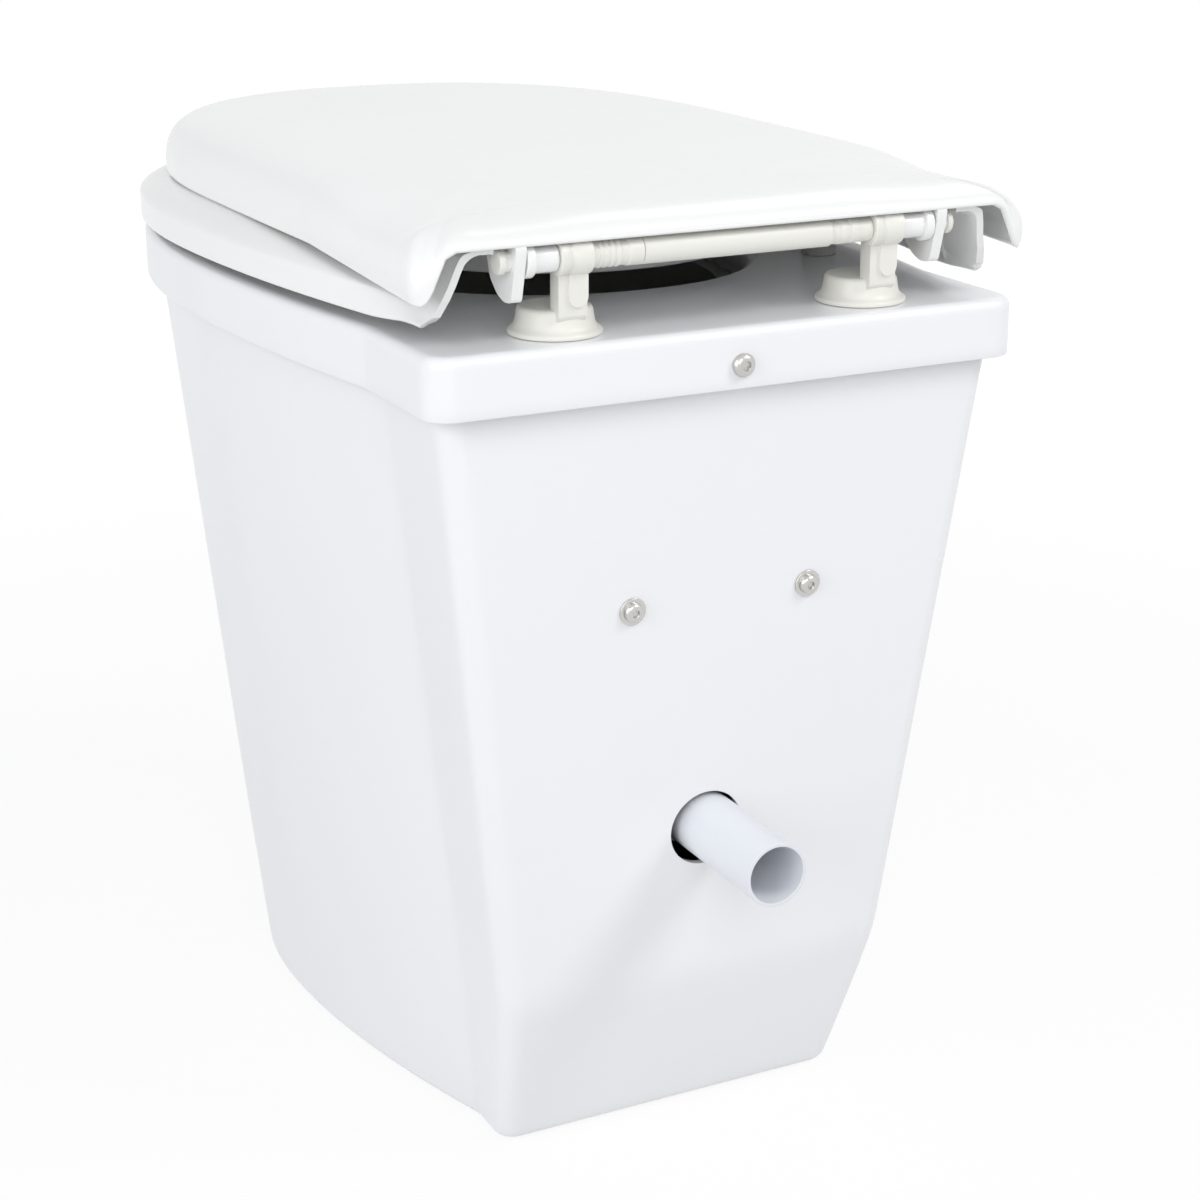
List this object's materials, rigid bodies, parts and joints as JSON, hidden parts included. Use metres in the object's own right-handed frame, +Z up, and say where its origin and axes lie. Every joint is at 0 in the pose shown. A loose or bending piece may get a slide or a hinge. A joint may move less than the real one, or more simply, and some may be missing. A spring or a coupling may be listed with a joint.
{
  "type": "waterless toilet",
  "caption": "Free-standing waterless toilet: tapered tub, skirted cover, seat and lid on a two-post hinge, urine bowl, waste container and a drain pipe through the back.",
  "frame": {"origin": "centre of the base's footprint, on the floor", "axes": "+Y to the back, the way the drain pipe points; +Z up; +X is to the left of a person who sits on it"},
  "size_m": [0.35, 0.566, 0.485],
  "materials": {
    "body": "gloss",
    "cover": "gloss",
    "lid_and_seat": "high gloss",
    "hinge": "satin",
    "rod": "satin",
    "wing_nut": "satin",
    "steel": "satin",
    "zinc": "satin",
    "insert": "satin",
    "hose": "satin",
    "pipe": "satin",
    "container": "satin",
    "grip": "satin",
    "buffer": "satin"
  },
  "bodies": {
    "frame": {"body_shell": "body", "top_cover": "cover", "hinge_post_left": "hinge", "hinge_post_right": "hinge", "hinge_foot_left": "hinge", "hinge_foot_right": "hinge", "rod_end_caps": "hinge", "ribbed_bush": "hinge", "stepped_bush": "hinge", "hinge_rod": "rod", "wing_nuts": "wing_nut", "cover_screw": "steel", "cover_screw_nut": "steel", "bracket_screws": "steel", "bracket_washers": "steel", "bracket_nuts": "steel", "hinge_studs": "steel", "stud_washers": "steel", "hose_clips": "steel", "inner_bracket": "zinc", "bowl_insert": "insert", "urine_hose": "hose", "drain_pipe": "pipe", "drain_elbow": "pipe", "waste_container": "container"},
    "seat": {"seat": "lid_and_seat", "seat_buffers": "buffer"},
    "lid": {"lid": "lid_and_seat", "lid_buffers": "buffer"},
    "sleeve": {"rod_sleeve": "hinge"},
    "bail": {"container_bail": "steel"},
    "grip": {"bail_grip": "grip"}
  },
  "joints": [
    {"name": "seat_hinge", "type": "hinge", "parent": "frame", "child": "seat", "pos_m": [0, 0.2265, 0.462], "axis": [-1, 0, 0], "range_deg": [0, 95]},
    {"name": "lid_hinge", "type": "hinge", "parent": "seat", "child": "lid", "pos_m": [0, 0.2265, 0.462], "axis": [1, 0, 0], "range_deg": [-100, 0]},
    {"name": "sleeve_turn", "type": "hinge", "parent": "frame", "child": "sleeve", "pos_m": [0, 0.2265, 0.462], "axis": [1, 0, 0], "continuous": true},
    {"name": "bail_swing", "type": "hinge", "parent": "frame", "child": "bail", "pos_m": [0, -0.012, 0.218], "axis": [-1, 0, 0], "range_deg": [0, 109]},
    {"name": "grip_turn", "type": "hinge", "parent": "bail", "child": "grip", "pos_m": [0, -0.12168, 0.18023], "axis": [1, 0, 0], "continuous": true}
  ]
}
